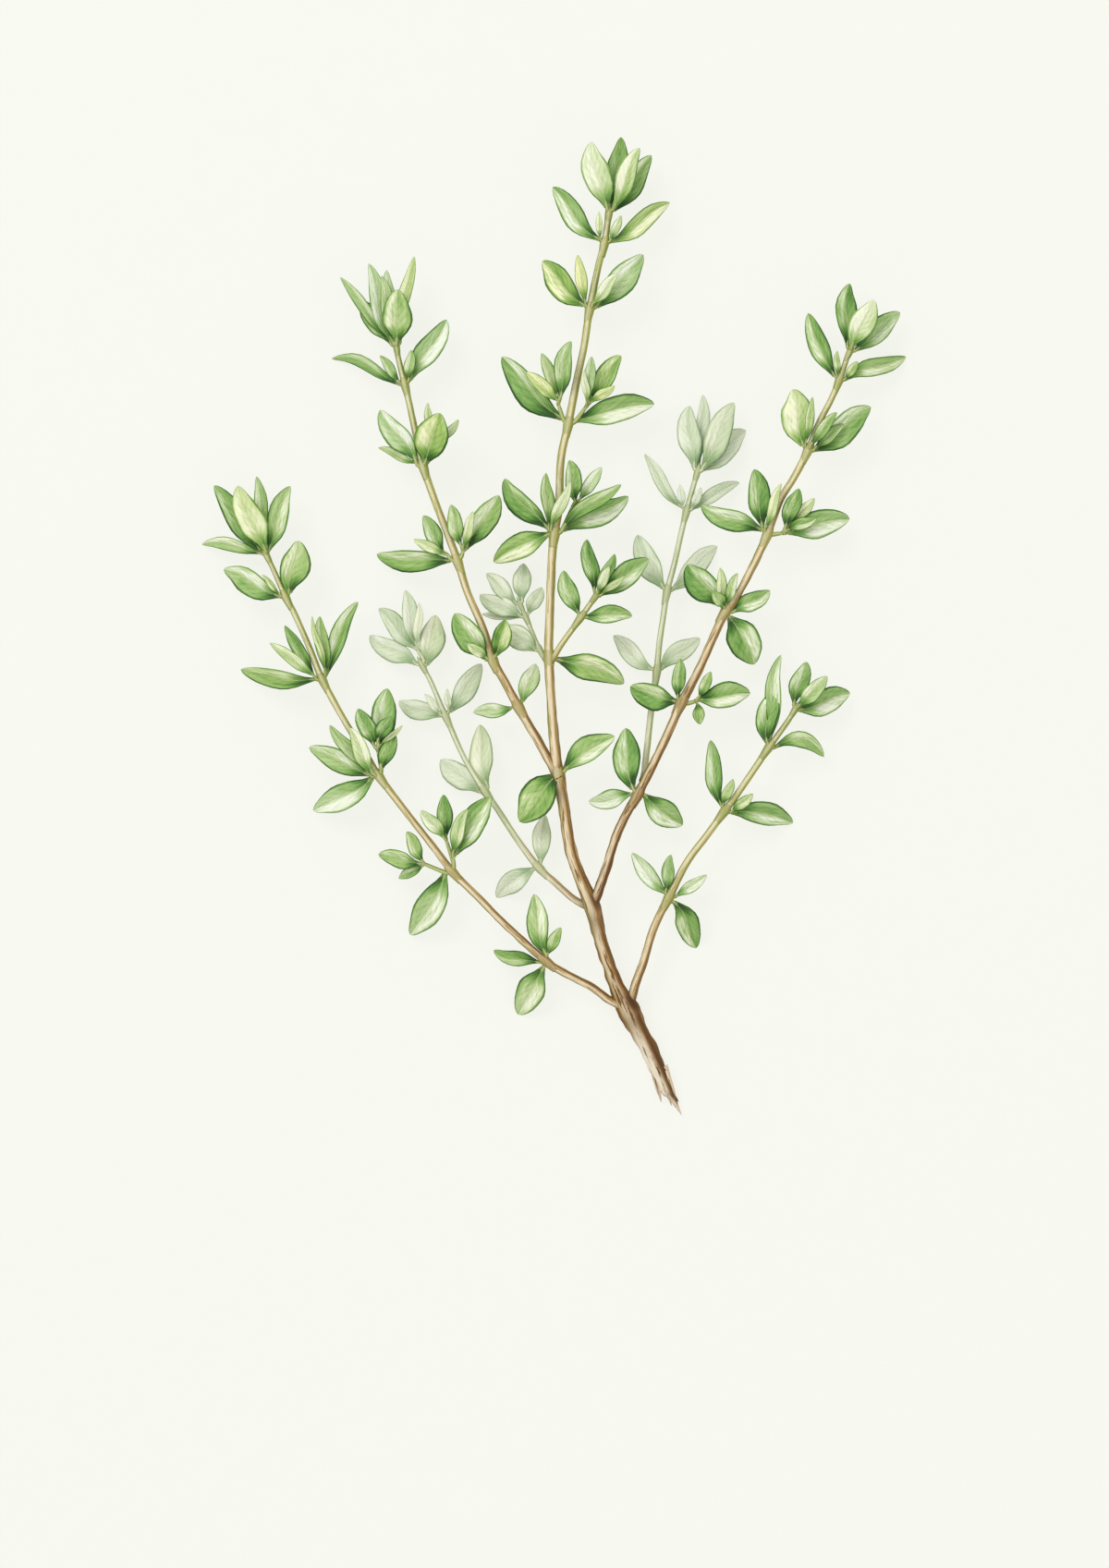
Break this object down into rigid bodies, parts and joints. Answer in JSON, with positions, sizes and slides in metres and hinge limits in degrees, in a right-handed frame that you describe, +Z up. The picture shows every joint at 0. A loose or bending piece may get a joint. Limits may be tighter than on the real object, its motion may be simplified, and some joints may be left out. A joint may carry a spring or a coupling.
{
  "type": "thyme sprig",
  "caption": "Cut sprig of thyme lying flat: a torn woody base that forks into thin leafy stems, with small pointed oval leaves in opposite whorls and leaf tufts at the tips.",
  "frame": {"origin": "on the surface the sprig lies on, below the middle of its outline", "axes": "+Y from the cut woody end to the leafy tips, +X to the right seen from above, +Z up from the surface"},
  "size_m": [0.0764, 0.106, 0.0088],
  "materials": {
    "bark": "rough brown bark with pale cream streaks",
    "stem": "matt tan to yellow-green young stem",
    "pale_stem": "matt pale green-cream young stem",
    "leaf": "satin green leaf with a paler midrib",
    "pale_leaf": "matt grey-green leaf"
  },
  "bodies": {
    "root": {"low_left_leaves_1": "leaf", "low_left_leaves_2": "leaf", "low_left_leaves_3": "leaf", "low_left_leaves_4": "leaf", "low_left_leaves_5": "leaf", "low_left_stem": "stem", "low_left_tip_leaves": "leaf", "low_right_leaves_1": "leaf", "low_right_leaves_2": "leaf", "low_right_leaves_3": "leaf", "low_right_stem": "stem", "low_right_tip_leaves": "leaf", "main_leaves_1": "leaf", "main_leaves_2": "leaf", "main_leaves_3": "leaf", "main_leaves_4": "leaf", "main_leaves_5": "leaf", "main_leaves_6": "leaf", "main_stem": "bark", "main_tip_leaves": "leaf", "pale_left_leaves_1": "pale_leaf", "pale_left_leaves_2": "pale_leaf", "pale_left_leaves_3": "pale_leaf", "pale_left_stem": "pale_stem", "pale_left_tip_leaves": "pale_leaf", "pale_right_leaves_1": "pale_leaf", "pale_right_leaves_2": "pale_leaf", "pale_right_leaves_3": "pale_leaf", "pale_right_stem": "pale_stem", "pale_right_tip_leaves": "pale_leaf", "small_left_leaves_1": "pale_leaf", "small_left_leaves_2": "pale_leaf", "small_left_stem": "pale_stem", "small_left_tip_leaves": "pale_leaf", "small_right_leaves_1": "leaf", "small_right_stem": "stem", "small_right_tip_leaves": "leaf", "tall_left_leaves_1": "leaf", "tall_left_leaves_2": "leaf", "tall_left_leaves_3": "leaf", "tall_left_leaves_4": "leaf", "tall_left_leaves_5": "leaf", "tall_left_stem": "stem", "tall_left_tip_leaves": "leaf", "tall_right_leaves_1": "leaf", "tall_right_leaves_2": "leaf", "tall_right_leaves_3": "leaf", "tall_right_leaves_4": "leaf", "tall_right_leaves_5": "leaf", "tall_right_leaves_6": "leaf", "tall_right_stem": "stem", "tall_right_tip_leaves": "leaf"}
  },
  "joints": []
}
